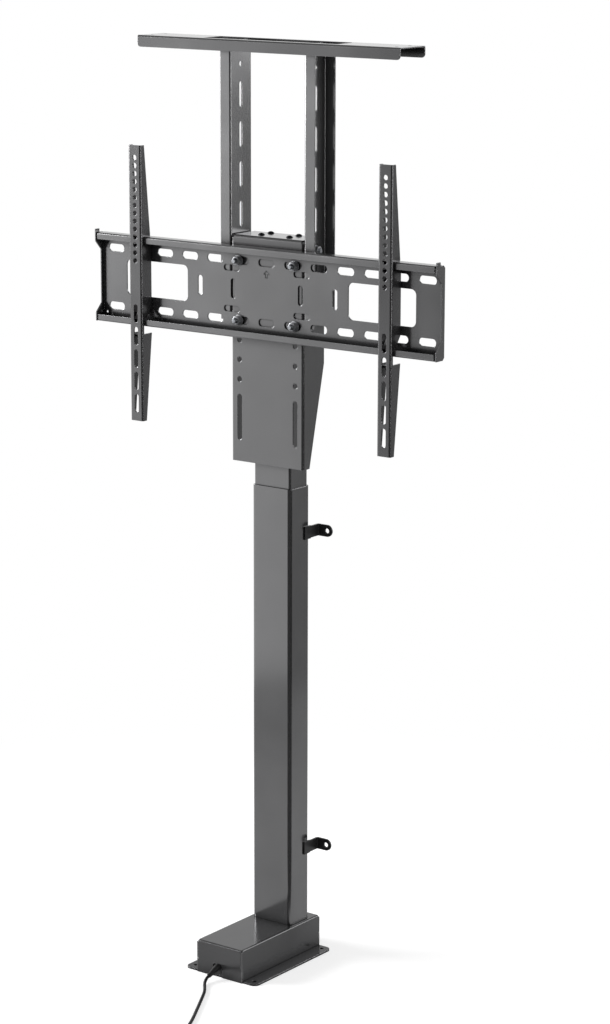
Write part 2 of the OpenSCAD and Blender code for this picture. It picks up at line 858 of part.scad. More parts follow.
module plate_bolts() color(zinc) {
    tip = head_y - plate_t - washer_t - m8_nut_h - stud_tip;
    along_y(tip, head_y + head_t) plate_bolt_places() circle(d = bolt_d);
    along_y(head_y + head_t, head_y + head_t + m8_head_h) plate_bolt_places() hexagon(m8_flats);
}

module plate_washers() color(zinc) {
    face = head_y - plate_t;
    along_y(face - washer_t, face) plate_bolt_places() difference() {
        circle(d = m8_washer_d);
        circle(d = bolt_d + 2 * run_fit);
    }
}

module plate_nuts() color(zinc) {
    face = head_y - plate_t - washer_t;
    along_y(face - m8_nut_h, face) plate_bolt_places() difference() {
        hexagon(m8_flats);
        circle(d = bolt_d + 2 * run_fit);
    }
}

// Bolts through the bracket's side flanges and the uprights' height slots
module upright_bolts() color(zinc) {
    inner = head_w / 2 - head_t;
    tip = upright_x + upright_t + washer_t + m8_nut_h + side_tip;
    for (s = [0, 1]) mirror([s, 0, 0]) {
        along_x(inner, tip) lid_bolt_places() circle(d = bolt_d);
        along_x(inner - m8_head_h, inner) lid_bolt_places() hexagon(m8_flats);
    }
}

module upright_nuts() color(zinc) {
    face = upright_x + upright_t;
    for (s = [0, 1]) mirror([s, 0, 0]) {
        along_x(face, face + washer_t) lid_bolt_places() difference() {
            circle(d = m8_washer_d);
            circle(d = bolt_d + 2 * run_fit);
        }
        along_x(face + washer_t, face + washer_t + m8_nut_h) lid_bolt_places() difference() {
            hexagon(m8_flats);
            circle(d = bolt_d + 2 * run_fit);
        }
    }
}

// TV plate

module plate_cuts() {
    for (k = [-6 : 6], z = [-1, 1])
        translate([k * slot_pitch, plate_z + z * bolt_span_h / 2]) slot(slot_l, slot_w);
    for (x = [-1, 1], z = [-1, 1])
        translate([x * mid_slot_x, window_z + z * mid_slot_drop]) slot(slot_l, mid_slot_w);
    for (x = [-2, -1, 1, 2])
        translate([x * tall_slot_pitch, window_z]) tall_slot(slot_l, tall_slot_w);
    for (x = [-1, 1])
        translate([x * window_x, window_z]) rounded(window_w, window_h, window_r);
    // Hole that the plate hangs by while it is coated
    translate([hang_in - plate_l / 2, plate_z - plate_h / 2 + hang_up]) circle(d = hang_d);
}

// Shallow stamped arrow that marks the plate's upper side
module up_arrow() {
    head = arrow_h * 0.45;
    translate([0, plate_z + arrow_rise]) {
        polygon([[-head, arrow_h / 2 - head], [0, arrow_h / 2], [head, arrow_h / 2 - head]]);
        translate([-arrow_w / 2, -arrow_h / 2]) square([arrow_w, arrow_h - head + 0.1]);
    }
}

// An end flange seen from the side: deep at both lips, cut back between them
module end_outline() {
    h = plate_h / 2;
    deep = plate_dep;
    translate([head_y, plate_z]) polygon([
        [0, end_cut - h], [0, h - end_cut], [-end_cut, h], [-ear_in, h], [-ear_in, h + ear_h],
        [-deep, h + ear_h], [-deep, h - waist_step], [-waist_d, h - waist_from],
        [-waist_d, waist_from - h], [-deep, waist_step - h], [-deep, -h], [-end_cut, -h]]);
}

module wall_plate() color(steel) {
    lip_l = plate_l - 2 * end_relief;
    difference() {
        union() {
            along_x(-lip_l / 2, lip_l / 2) translate([head_y - plate_dep / 2, plate_z]) difference() {
                bent_ring(plate_dep, plate_h, plate_t, plate_t + 1);
                translate([-plate_dep / 2, 0])
                    square([4 * plate_t, plate_h - 2 * lip_h], center = true);
            }
            along_y(head_y - plate_t, head_y) translate([0, plate_z])
                square([plate_l, plate_h - 2 * end_cut], center = true);
            for (s = [0, 1]) mirror([s, 0, 0])
                along_x(plate_l / 2 - plate_t, plate_l / 2) end_outline();
        }
        along_y(head_y - plate_t - 1, head_y + 1) plate_cuts();
        along_y(head_y - plate_t - 1, head_y - plate_t + arrow_deep) up_arrow();
    }
}

// TV arms

// Side view of an arm: deep between the lips, notched to hook over each lip
module arm_outline() {
    top_lip = plate_z + plate_h / 2;
    foot_lip = plate_z - plate_h / 2;
    neck = plate_y - hook_lap;
    deep = head_y - plate_t - hook_lap;
    polygon([
        [arm_y - 1, arm_top], [arm_y + arm_top_d, arm_top],
        [plate_y + hook_d, top_lip + hook_h], [plate_y + hook_d, top_lip + hook_gap],
        [neck, top_lip + hook_gap],
        [neck, top_lip - lip_h - hook_drop], [deep, top_lip - lip_h - hook_drop],
        [deep, foot_lip + lip_h + knee_h], [deep - knee_d, foot_lip + lip_h + hook_drop],
        [neck, foot_lip + lip_h + hook_drop],
        [neck, foot_lip - foot_hook_h], [deep, foot_lip - foot_hook_h],
        [arm_y + arm_foot_d, arm_bottom], [arm_y - 1, arm_bottom]]);
}

lock_z = plate_z - plate_h / 2 - lock_drop;
lock_y = arm_y + lock_in;

module tv_arm(s) {
    deep = 4 * arm_w;
    translate([s * arm_x, 0, 0]) difference() {
        union() {
            intersection() {
                translate([0, arm_y + deep / 2, arm_bottom]) linear_extrude(arm_l)
                    bent_ring(arm_w, deep, arm_t, arm_t + 1);
                along_x(-arm_w, arm_w) arm_outline();
            }
            // Tab between the flanges, tapped for the locking screw
            translate([0, lock_y, lock_z]) cube([arm_w - 2 * arm_t, lock_tab_d, lock_tab_t], center = true);
        }
        along_y(arm_y - 1, arm_y + arm_t + 1) {
            for (k = [0 : tv_holes - 1])
                translate([0, arm_top - tv_first - k * tv_pitch]) circle(d = tv_hole_d);
            for (k = [0 : 4])
                translate([0, arm_bottom + tv_slot_foot + tv_slot_l / 2 + k * tv_slot_pitch])
                    tall_slot(tv_slot_l, tv_hole_d);
        }
        translate([0, lock_y, lock_z - lock_tab_t]) cylinder(h = 2 * lock_tab_t, d = lock_d + 2 * run_fit);
    }
}

module lock_screw(s) {
    foot = lock_z - lock_tab_t / 2;
    translate([s * arm_x, lock_y, 0]) {
        translate([0, 0, foot]) cylinder(h = plate_z - plate_h / 2 - hook_gap - foot, d = lock_d);
        translate([0, 0, foot - lock_head_h]) cylinder(h = lock_head_h, d = lock_head_d / cos(30), $fn = 6);
    }
}

module arm_left() color(steel) tv_arm(-1);
module arm_right() color(light_steel) tv_arm(1);
module lock_screw_left() color(zinc) lock_screw(-1);
module lock_screw_right() color(zinc) lock_screw(1);

// Lid frame

module upright(s) {
    wide = 5 * upright_w;
    on_side(s) difference() {
        translate([upright_x + wide / 2, head_y + upright_d / 2, upright_bottom]) linear_extrude(upright_l)
            difference() {
                bent_ring(wide, upright_d, upright_t, upright_t + 1);
                translate([upright_w, 0]) square([wide, upright_d + 2], center = true);
            }
        along_x(upright_x - 1, upright_x + upright_t + 1) {
            for (k = [-1 : lid_slots - 2])
                translate([lid_bolt_y, lid_slot_z + k * lid_slot_pitch]) tall_slot(lid_slot_l, lid_slot_w);
            translate([lid_bolt_y, lid_slot_z + (lid_slots - 1.25) * lid_slot_pitch]) circle(d = bolt_d);
        }
    }
}

module upright_left() color(light_steel) upright(-1);
module upright_right() color(light_steel) upright(1);

module lid_bar() color(light_steel) {
    tall = 6 * bar_h;
    difference() {
        intersection() {
            along_x(-bar_l / 2, bar_l / 2) difference() {
                translate([bar_y, bar_top - tall / 2]) bent_ring(bar_d, tall, bar_t, bar_t + 1.5);
                translate([bar_y, bar_top - bar_h - tall / 2]) square([bar_d + 2, tall], center = true);
            }
            // The lips' lower corners are rounded
            along_y(bar_y - bar_d, bar_y + bar_d)
                translate([0, bar_top]) rounded(bar_l, 2 * bar_h, 6);
        }
        translate([0, bar_y, bar_top - 2 * bar_t]) linear_extrude(3 * bar_t) {
            rounded(bar_open_l, bar_open_w, 4);
            for (x = [-1, 1], y = [-1, 1])
                translate([x * (bar_l / 2 - lid_hole_in), y * lid_hole_d2 / 2]) circle(d = lid_hole_d);
        }
    }
}

// Cable

function unit(v) = v / norm(v);

// A point on the smooth curve through the route's points
function curve_point(p, i, u) =
    let (n = len(p) - 1, a = p[max(i - 1, 0)], b = p[i], c = p[min(i + 1, n)], d = p[min(i + 2, n)])
    0.5 * (2 * b + (c - a) * u + (2 * a - 5 * b + 4 * c - d) * u * u
           + (3 * b - a - 3 * c + d) * u * u * u);

function curve(p, steps) = concat(
    [for (i = [0 : len(p) - 2], s = [0 : steps - 1]) curve_point(p, i, s / steps)],
    [p[len(p) - 1]]);

// The lead's path: straight at both ends, and a smooth curve through the points between
function lead(p, steps) = concat([p[0]], curve([for (i = [1 : len(p) - 2]) p[i]], steps), [p[len(p) - 1]]);

function tangent(p, i) = unit(p[min(i + 1, len(p) - 1)] - p[max(i - 1, 0)]);

// One ring of points square to the tangent, with its first point level
function ring(c, t, r, sides) =
    let (side = unit(cross(t, [0, 0, 1])), up = cross(side, t))
    [for (k = [0 : sides - 1]) c + r * (cos(k * 360 / sides) * side + sin(k * 360 / sides) * up)];

module swept_tube(path, d, sides) {
    rings = [for (i = [0 : len(path) - 1]) ring(path[i], tangent(path, i), d / 2, sides)];
    points = [for (r = rings, p = r) p];
    last = (len(path) - 1) * sides;
    walls = [for (i = [0 : len(path) - 2], k = [0 : sides - 1])
        let (a = i * sides + k, b = i * sides + (k + 1) % sides)
        each [[a, b, b + sides], [a, b + sides, a + sides]]];
    caps = [for (k = [1 : sides - 2]) each [[0, k + 1, k], [last, last + k, last + k + 1]]];
    polyhedron(points, concat(walls, caps));
}

// The coil winds in on the floor, climbs one layer where it turns back, and winds out
// on top of itself; both ends run straight for a diameter
coil_rings = 24;
coil_half = coil_turns / 2;
function coil_radius(t) = coil_out_r - coil_step * min(t, coil_turns - t);
function coil_climb(t) = let (u = min(max((t - coil_half) * 2 + 0.5, 0), 1)) u * u * (3 - 2 * u);
function coil_point(t) = [
    coil_x + coil_radius(t) * cos(180 + 360 * t),
    coil_y + coil_radius(t) * sin(180 + 360 * t),
    floor_z + layer_h * coil_climb(t)];
coil_path = concat(
    [coil_in + [0, stub, 0]],
    [for (i = [0 : coil_turns * coil_rings]) coil_point(i / coil_rings)],
    [coil_out - [0, stub, 0]]);

function path_length(p) = len(p) < 2 ? 0 :
    [for (i = 1, s = norm(p[1] - p[0]); i < len(p); i = i + 1,
          s = s + (i < len(p) ? norm(p[i] - p[i - 1]) : 0)) s][len(p) - 2];
coil_gap = min([for (i = [0 : len(coil_path) - 1], j = [i + 12 : 1 : len(coil_path) - 1])
    norm(coil_path[i] - coil_path[j])]) - cable_d;
echo(cable_length = path_length(lead(cable_route, 3)) + path_length(coil_path)
     + path_length(lead(tail_route, 3)), coil_gap = coil_gap);

// Rubber grommet: a plate that stands on the base behind the notch and covers it,
// with a tapered sleeve that leads the cable out and down
module strain_relief() color(black) {
    sleeve_l = norm([gland_run, gland_fall]);
    tilt = atan(gland_fall / gland_run);
    along_y(-plate_d / 2, -plate_d / 2 + grommet_t) translate([cable_x, base_t + grommet_h / 2])
        rounded(notch_w + 2 * grommet_lap, grommet_h, 3);
    translate([cable_x, -base_d / 2, gland_z]) rotate([90 + tilt, 0, 0]) rotate_extrude()
        polygon([[0, -3], [gland_d / 2, -3], [gland_d / 2, 3], [cable_d / 2 + 1, sleeve_l], [0, sleeve_l]]);
}

module motor_cable() color(black) swept_tube(lead(cable_route, 3), cable_d, 8);
module cable_coil() color(black) swept_tube(coil_path, cable_d, 6);
module cable_tail() color(black) swept_tube(lead(tail_route, 3), cable_d, 8);

// Round connector that plugs into the control box
module connector() color(black) {
    translate(tail_route[len(tail_route) - 1]) rotate([90, 0, 0]) rotate_extrude()
        polygon([[0, 0], [cable_d / 2 + 1, 0], [connector_d / 2 - 1, 12], [connector_d / 2, 14],
                 [connector_d / 2, connector_l - 10], [connector_d / 2 - 1.5, connector_l - 9],
                 [connector_d / 2 - 1.5, connector_l], [0, connector_l]]);
}

base_plate();
base_cover();
cover_screws();
gearbox_housing();
gearbox_lid();
gearbox_bolts();
drive_motor();
spindle_bearing();
outer_tube();
tube_screws();
mouth_glide();
strap_upper_left();
strap_upper_right();
strap_lower_left();
strap_lower_right();
worm_shaft();
spindle();
worm_wheel();
spindle_stop();
inner_tube();
foot_glide();
spindle_nut();
tube_plug();
head_bracket();
head_screws();
wall_plate();
plate_bolts();
plate_washers();
plate_nuts();
upright_bolts();
upright_nuts();
upright_left();
upright_right();
lid_bar();
arm_left();
arm_right();
lock_screw_left();
lock_screw_right();
strain_relief();
motor_cable();
cable_coil();
cable_tail();
connector();
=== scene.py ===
# A motorised TV lift that stands on the floor: a worm-geared motor under a folded base
# cover drives a spindle, which pushes the inner column tube out of the outer one. The
# head bracket on top carries the slotted TV plate with its two sliding arms, and two
# slotted uprights with a bar for the cabinet's lid. Sheet steel, dark grey powder coat.
import math

import bmesh
import bpy
from mathutils import Matrix, Vector


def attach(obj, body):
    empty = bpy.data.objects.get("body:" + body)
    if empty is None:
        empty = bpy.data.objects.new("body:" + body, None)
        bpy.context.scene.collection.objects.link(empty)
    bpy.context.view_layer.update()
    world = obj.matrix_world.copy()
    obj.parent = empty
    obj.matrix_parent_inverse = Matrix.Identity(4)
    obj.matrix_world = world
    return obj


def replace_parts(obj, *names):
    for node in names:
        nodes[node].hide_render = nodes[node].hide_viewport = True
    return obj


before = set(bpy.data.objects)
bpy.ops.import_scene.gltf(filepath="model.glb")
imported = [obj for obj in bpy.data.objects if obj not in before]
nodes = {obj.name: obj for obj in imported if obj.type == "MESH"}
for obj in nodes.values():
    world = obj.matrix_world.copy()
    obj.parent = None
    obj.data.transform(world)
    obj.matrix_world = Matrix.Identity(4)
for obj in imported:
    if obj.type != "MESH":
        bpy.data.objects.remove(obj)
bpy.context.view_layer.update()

# Camera
# A long lens from the front right, a little above the lid bar's height. The lens is
# worked out on the image's long side, 1024 of its 610 x 1024 points.
lens_points, long_side = 2963.99, 1024
camera_place = (2.7433, -3.5735, 1.7442)
camera_data = bpy.data.cameras.new("camera")
camera_data.sensor_width = 36.0
camera_data.lens = lens_points / long_side * 36
camera_data.clip_start, camera_data.clip_end = 0.1, 60
camera = bpy.data.objects.new("camera", camera_data)
bpy.context.scene.collection.objects.link(camera)
camera_right = Vector((0.80265, 0.59645, 0.00204))
camera_up = Vector((-0.13171, 0.17390, 0.97591))
camera_back = camera_right.cross(camera_up).normalized()
camera_up = camera_back.cross(camera_right).normalized()
camera_right.normalize()
camera.matrix_world = (
    Matrix.Translation(camera_place)
    @ Matrix((camera_right, camera_up, camera_back)).transposed().to_4x4()
)
bpy.context.scene.camera = camera

# Motor cable
# A 5 mm vinyl lead, 1.5 m long. It leaves the grommet, drops to the floor, runs forward
# and is put away in a coil of two layers on the floor, with its connector in front of it.
cable_d = 0.005
cable_floor = 0.0026
cable_stub = 0.005
cable_layer = 0.0055
coil_centre = (0.142, -0.385)
coil_turns, turn_points = 6, 36
coil_step = 0.0056
coil_middle = 0.030
coil_outer = coil_middle + coil_step * coil_turns / 4
coil_start = Vector((coil_centre[0] - coil_outer, coil_centre[1], cable_floor))
coil_end = coil_start + Vector((0, 0, cable_layer))
gland_end = Vector((-0.004, -0.125, 0.0085))
gland_axis = Vector((0, -0.022, -0.008)).normalized()

lead_points = [gland_end, gland_end + gland_axis * cable_stub] + [
    Vector(p) for p in (
        (-0.001, -0.138, 0.0043), (0.005, -0.147, 0.0029), (0.013, -0.157, cable_floor),
        (0.024, -0.172, cable_floor), (0.040, -0.200, cable_floor),
        (0.060, -0.236, cable_floor), (0.080, -0.273, cable_floor),
        (0.096, -0.310, cable_floor), (0.103, -0.345, cable_floor),
    )
] + [coil_start + Vector((0, 0.020, 0)), coil_start + Vector((0, cable_stub, 0))]
tail_points = [coil_end - Vector((0, cable_stub, 0)), coil_end - Vector((0, 0.012, 0.0003))] + [
    Vector(p) for p in (
        (0.103, -0.412, 0.0056), (0.102, -0.428, 0.0033), (0.101, -0.444, cable_floor),
        (0.100, -0.458, 0.0036), (0.100, -0.470, 0.0065), (0.100, -0.475, 0.0065),
    )
]


def smooth_run(points, steps=4):
    """The points of a smooth curve through the given ones, straight over its first and last step."""
    inner = points[1:-1]
    run = [points[0]]
    for i in range(len(inner) - 1):
        a, b = inner[max(i - 1, 0)], inner[i]
        c, d = inner[i + 1], inner[min(i + 2, len(inner) - 1)]
        for s in range(steps):
            u = s / steps
            run.append(0.5 * (2 * b + (c - a) * u + (2 * a - 5 * b + 4 * c - d) * u * u
                              + (3 * b - a - 3 * c + d) * u * u * u))
    return run + [inner[-1], points[-1]]


coil_points = []
for i in range(coil_turns * turn_points + 1):
    turn = i / turn_points
    # Inwards on the lower layer, up at the middle, and outwards again on the upper one
    radius = coil_outer - coil_step * min(turn, coil_turns - turn)
    climb = min(max((turn - coil_turns / 2) * 2 + 0.5, 0), 1)
    angle = math.pi + 2 * math.pi * turn
    coil_points.append(Vector((
        coil_centre[0] + radius * math.cos(angle), coil_centre[1] + radius * math.sin(angle),
        cable_floor + cable_layer * climb * climb * (3 - 2 * climb))))

cable_run = smooth_run(lead_points) + coil_points + smooth_run(tail_points)

cable_curve = bpy.data.curves.new("motor_lead", "CURVE")
cable_curve.dimensions = "3D"
cable_curve.bevel_depth = 1.0
cable_curve.bevel_resolution = 4
cable_curve.use_fill_caps = True
line = cable_curve.splines.new("POLY")
line.points.add(len(cable_run) - 1)
for point, place in zip(line.points, cable_run):
    point.co = (*place, 1)
    point.radius = cable_d / 2
line.use_smooth = True
motor_lead = bpy.data.objects.new("motor_lead", cable_curve)
bpy.context.scene.collection.objects.link(motor_lead)
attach(motor_lead, "base")
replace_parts(motor_lead, "motor_cable", "cable_coil", "cable_tail")


def linear(hex_colour):
    """An sRGB hex colour as the linear colour that a shader takes."""
    parts = [int(hex_colour[i:i + 2], 16) / 255 for i in (1, 3, 5)]
    return (*[p / 12.92 if p <= 0.04045 else ((p + 0.055) / 1.055) ** 2.4 for p in parts], 1.0)


def add(tree, kind, inputs=None, **settings):
    """Adds a node with its settings, and gives each input a value or links it to an output."""
    made = tree.nodes.new("ShaderNode" + kind)
    for name, value in settings.items():
        setattr(made, name, value)
    for name, value in (inputs or {}).items():
        if isinstance(value, bpy.types.NodeSocket):
            tree.links.new(value, made.inputs[name])
        else:
            made.inputs[name].default_value = value
    return made


def new_material(name):
    """An empty node material and its tree."""
    material = bpy.data.materials.new(name)
    material.use_nodes = True
    material.node_tree.nodes.clear()
    return material, material.node_tree


# Extruded soft vinyl: near black, with a satin skin that the die leaves slightly drawn.
# The drawn marks are 2 mm apart, coarser than the real ones, so that they show.
cable_vinyl, tree = new_material("extruded_vinyl")
place = add(tree, "TexCoord").outputs["Object"]
marks = add(tree, "TexNoise", {"Vector": place, "Scale": 1 / 0.002, "Detail": 2.0}).outputs["Fac"]
tone = add(tree, "Mix", {0: marks, 6: linear("#161617"), 7: linear("#242425")}, data_type="RGBA")
gloss = add(tree, "MapRange", {"Value": marks, "To Min": 0.34, "To Max": 0.50})
skin = add(tree, "Bump", {"Height": marks, "Strength": 0.15, "Distance": 0.0002})
shader = add(tree, "BsdfPrincipled", {
    "Base Color": tone.outputs[2], "Roughness": gloss.outputs["Result"], "IOR": 1.5,
    "Normal": skin.outputs["Normal"]})
add(tree, "OutputMaterial", {"Surface": shader.outputs["BSDF"]})
motor_lead.data.materials.append(cable_vinyl)

# Base plate
# 3 mm steel sheet, laser cut with rounded ears and four floor holes. It carries the
# gearbox, and two tabs turned up at its back hold the cover.


def powder_coat(name, deep, light, edge, rough=(0.17, 0.22), flake=0.85, rim=0.0007,
                reach=0.025, closed=0.18):
    """Polyester powder with fine aluminium flake, baked on sheet steel: a flowed skin that
    mirrors the room softly, with a painted highlight along cut edges and painted shade in
    seams and folds."""
    material, tree = new_material(name)
    place = add(tree, "TexCoord").outputs["Object"]
    # The coat's thickness drifts over a hand's width
    drift = add(tree, "TexNoise", {
        "Vector": place, "Scale": 1 / 0.09, "Detail": 2.0}).outputs["Fac"]
    # Dimples of the flowed powder, 1.6 mm across
    dimples = add(tree, "TexNoise", {
        "Vector": place, "Scale": 1 / 0.0016, "Detail": 1.0}).outputs["Fac"]
    # Grains of the blended powders, drawn at 0.9 mm instead of 0.05 mm so that they show
    grains = add(tree, "TexVoronoi", {"Vector": place, "Scale": 1 / 0.0009}).outputs["Color"]
    speck = add(tree, "SeparateColor", {"Color": grains}).outputs["Red"]
    blend = add(tree, "Math", {0: speck, 1: 0.05, 2: drift}, operation="MULTIPLY_ADD").outputs[0]
    share = add(tree, "MapRange", {
        "Value": blend, "From Min": 0.27, "From Max": 0.78}).outputs["Result"]
    body = add(tree, "Mix", {
        0: share, 6: linear(deep), 7: linear(light)}, data_type="RGBA").outputs[2]
    # Painted highlight: cut edges are drawn paler, over about the rim's width, where a highlight
    # would catch them
    turned = add(tree, "Bevel", {"Radius": rim}, samples=8).outputs["Normal"]
    flat = add(tree, "NewGeometry").outputs["Normal"]
    along = add(tree, "VectorMath", {0: turned, 1: flat}, operation="DOT_PRODUCT").outputs["Value"]
    painted_edge_highlight = add(tree, "MapRange", {
        "Value": along, "From Min": 0.995, "From Max": 0.80,
        "To Min": 0.0, "To Max": 0.9}).outputs["Result"]
    coat = add(tree, "Mix", {0: painted_edge_highlight, 6: body, 7: linear(edge)}, data_type="RGBA").outputs[2]
    # Painted shade: seams, the insides of folds and faces close under other parts are drawn darker,
    # as the shade there would be. The reach is how far off a neighbouring face still shades one, in
    # metres
    facet = add(tree, "NewGeometry").outputs["True Normal"]
    open_air = add(tree, "AmbientOcclusion", {
        "Distance": reach, "Normal": facet}, samples=12).outputs["AO"]
    painted_fold_shade = add(tree, "MapRange", {
        "Value": open_air, "From Min": closed, "From Max": 0.88,
        "To Min": 0.85, "To Max": 0.0}).outputs["Result"]
    colour = add(tree, "Mix", {
        0: painted_fold_shade, 6: coat, 7: linear("#101011")}, data_type="RGBA").outputs[2]
    gloss = add(tree, "MapRange", {
        "Value": drift, "From Min": 0.25, "From Max": 0.75,
        "To Min": rough[0], "To Max": rough[1]}).outputs["Result"]
    skin = add(tree, "Bump", {
        "Height": dimples, "Strength": 0.015, "Distance": 0.0002, "Normal": turned})
    shader = add(tree, "BsdfPrincipled", {
        "Base Color": colour, "Metallic": flake, "Roughness": gloss, "IOR": 1.5,
        "Normal": skin.outputs["Normal"]})
    add(tree, "OutputMaterial", {"Surface": shader.outputs["BSDF"]})
    return material


def dress(material, *names):
    """Puts a material on CAD nodes."""
    for name in names:
        for holder in nodes[name].material_slots:
            holder.material = material


# The same coat as the cover's, painted darker here as the shade low by the floor, with a painted
# highlight along the cut edges
dress(powder_coat("powder_coat_base_plate", "#3d3d3e", "#464647", "#bebec0", rim=0.0014),
      "base_plate")

# Base cover
# One folded sheet over the motor and gearbox, its corner seams left open, with a hole
# for the column and a notch for the cable. Two black screws hold its back panel.
# The same coat as the upper parts', painted darker as the shade that falls low by the floor
dress(powder_coat("powder_coat_cover", "#5f5f60", "#69696a", "#cacacc", rim=0.0014),
      "base_cover")

# Black-oxide screws: hot-blackened steel, oiled, with a soft sheen and paler rims
black_oxide, tree = new_material("black_oxide_steel")
place = add(tree, "TexCoord").outputs["Object"]
cloud = add(tree, "TexNoise", {"Vector": place, "Scale": 1 / 0.003, "Detail": 3.0}).outputs["Fac"]
turned = add(tree, "Bevel", {"Radius": 0.0003}, samples=6).outputs["Normal"]
flat = add(tree, "NewGeometry").outputs["Normal"]
along = add(tree, "VectorMath", {0: turned, 1: flat}, operation="DOT_PRODUCT").outputs["Value"]
# The rims are drawn paler, over the bevel's width
paler_rims = add(tree, "MapRange", {
    "Value": along, "From Min": 0.995, "From Max": 0.80,
    "To Min": 0.0, "To Max": 0.8}).outputs["Result"]
oxide = add(tree, "Mix", {
    0: cloud, 6: linear("#202124"), 7: linear("#313236")}, data_type="RGBA").outputs[2]
tone = add(tree, "Mix", {0: paler_rims, 6: oxide, 7: linear("#77787c")}, data_type="RGBA").outputs[2]
gloss = add(tree, "MapRange", {"Value": cloud, "To Min": 0.26, "To Max": 0.42}).outputs["Result"]
shader = add(tree, "BsdfPrincipled", {
    "Base Color": tone, "Metallic": 0.85, "Roughness": gloss, "Normal": turned})
add(tree, "OutputMaterial", {"Surface": shader.outputs["BSDF"]})
dress(black_oxide, "cover_screws", "head_screws")

# Gearbox
# A die-cast zinc-aluminium block with a pressed-in lid under the worm wheel, bolted to
# the base plate. Its spigot carries the outer tube.

# Die-cast alloy: matt, slightly mottled where the melt met the die
die_cast, tree = new_material("die_cast_alloy")
place = add(tree, "TexCoord").outputs["Object"]
flow = add(tree, "TexNoise", {
    "Vector": place, "Scale": 1 / 0.012, "Detail": 4.0, "Distortion": 0.6}).outputs["Fac"]
# The die's blasted grain, drawn at 1.2 mm, coarser than the real one so that it shows
blast = add(tree, "TexNoise", {"Vector": place, "Scale": 1 / 0.0012, "Detail": 1.0}).outputs["Fac"]
tone = add(tree, "Mix", {
    0: flow, 6: linear("#8e9196"), 7: linear("#b3b6ba")}, data_type="RGBA").outputs[2]
gloss = add(tree, "MapRange", {"Value": flow, "To Min": 0.42, "To Max": 0.60}).outputs["Result"]
skin = add(tree, "Bump", {"Height": blast, "Strength": 0.2, "Distance": 0.0002}).outputs["Normal"]
shader = add(tree, "BsdfPrincipled", {
    "Base Color": tone, "Metallic": 0.9, "Roughness": gloss, "Normal": skin})
add(tree, "OutputMaterial", {"Surface": shader.outputs["BSDF"]})
dress(die_cast, "gearbox_housing", "gearbox_lid")

# Motor
# A closed DC motor in a drawn steel can with a square flange, screwed to the gearbox's
# front face. The can is stoved black.
dress(powder_coat("stoved_black_can", "#1d1d1f", "#28282a", "#3c3c3f", rough=(0.30, 0.42),
                  flake=0.0), "drive_motor")


def plated(name, deep, light, rough, bare=1.0):
    """Zinc-plated or ground metal: a cloudy bright film, with rims rounded by 0.3 mm. A black
    passivate over it leaves only part of the film bare."""
    material, tree = new_material(name)
    place = add(tree, "TexCoord").outputs["Object"]
    cloud = add(tree, "TexNoise", {"Vector": place, "Scale": 1 / 0.004, "Detail": 3.0}).outputs["Fac"]
    # Tool marks 0.7 mm apart, coarser than the real ones so that they show
    tool = add(tree, "TexNoise", {"Vector": place, "Scale": 1 / 0.0007, "Detail": 1.0}).outputs["Fac"]
    tone = add(tree, "Mix", {
        0: cloud, 6: linear(deep), 7: linear(light)}, data_type="RGBA").outputs[2]
    gloss = add(tree, "MapRange", {
        "Value": cloud, "To Min": rough[0], "To Max": rough[1]}).outputs["Result"]
    turned = add(tree, "Bevel", {"Radius": 0.0003}, samples=6).outputs["Normal"]
    skin = add(tree, "Bump", {
        "Height": tool, "Strength": 0.1, "Distance": 0.0001, "Normal": turned})
    shader = add(tree, "BsdfPrincipled", {
        "Base Color": tone, "Metallic": bare, "Roughness": gloss, "Normal": skin.outputs["Normal"]})
    add(tree, "OutputMaterial", {"Surface": shader.outputs["BSDF"]})
    return material


zinc_plate = plated("zinc_plated_steel", "#8b8e93", "#b5b8bc", (0.22, 0.38))
dress(zinc_plate, "gearbox_bolts", "tube_screws", "lock_screw_left", "lock_screw_right")

# Spindle, worm and worm wheel
# A 14 mm two-start trapezoidal spindle of ground steel, turned by a bronze wheel on the
# motor's worm, in a ball bearing at the top of the gearbox.
turned_steel = plated("ground_steel", "#9a9da1", "#bdbfc2", (0.16, 0.30))
dress(turned_steel, "worm_shaft", "spindle_bearing", "spindle_stop")
dress(plated("cast_bronze", "#a8854e", "#c09c62", (0.28, 0.42)), "worm_wheel")

spindle_y = 0.058
spindle_foot, spindle_neck, spindle_top = 0.0036, 0.0503, 0.6575
spindle_r, journal_r = 0.007, 0.006
spindle_lead, spindle_thread = 0.010, 0.0022
tip_chamfer = 0.001
# Depth of the thread over one lead, in two starts, as a share of its full depth
two_starts = (0, 0, 0.5, 1, 1, 1, 0.5, 0) * 2


def quad_rows(bm, rows):
    """Faces between closed rows of points that have the same count."""
    made = [[bm.verts.new(p) for p in row] for row in rows]
    for low, high in zip(made, made[1:]):
        count = len(low)
        for k in range(count):
            bm.faces.new((low[k], low[(k + 1) % count], high[(k + 1) % count], high[k]))


def threaded_rod(bm, r, depth, lead, form, z0, z1, tip, matrix, sides=32):
    """A thread cut on a rod along local Z: its rows of points climb with the thread, so that
    crests and roots are clean lines. Both ends are flat, and the far end is chamfered."""
    per_lead = len(form)
    rows = 2 * per_lead + math.ceil(per_lead * (z1 - z0) / lead)
    grid = []
    for j in range(rows + 1):
        row = []
        for i in range(sides):
            z = z0 + lead * ((j - per_lead) / per_lead + i / sides)
            radius = r - depth * form[j % per_lead]
            if z <= z0:
                radius = r - depth
            radius = min(radius, r - tip + max(z1 - z, 0))
            row.append(bm.verts.new(matrix @ Vector((
                radius * math.cos(2 * math.pi * i / sides),
                radius * math.sin(2 * math.pi * i / sides),
                min(max(z, z0), z1)))))
        grid.append(row)
    for j in range(rows - per_lead):
        for i in range(sides):
            right = (i + 1) % sides
            lift = per_lead if right == 0 else 0
            bm.faces.new((grid[j][i], grid[j + lift][right],
                          grid[j + 1 + lift][right], grid[j + 1][i]))
    bm.verts.ensure_lookup_table()
    loose = [v for v in bm.verts if not v.link_faces]
    bmesh.ops.delete(bm, geom=loose, context="VERTS")


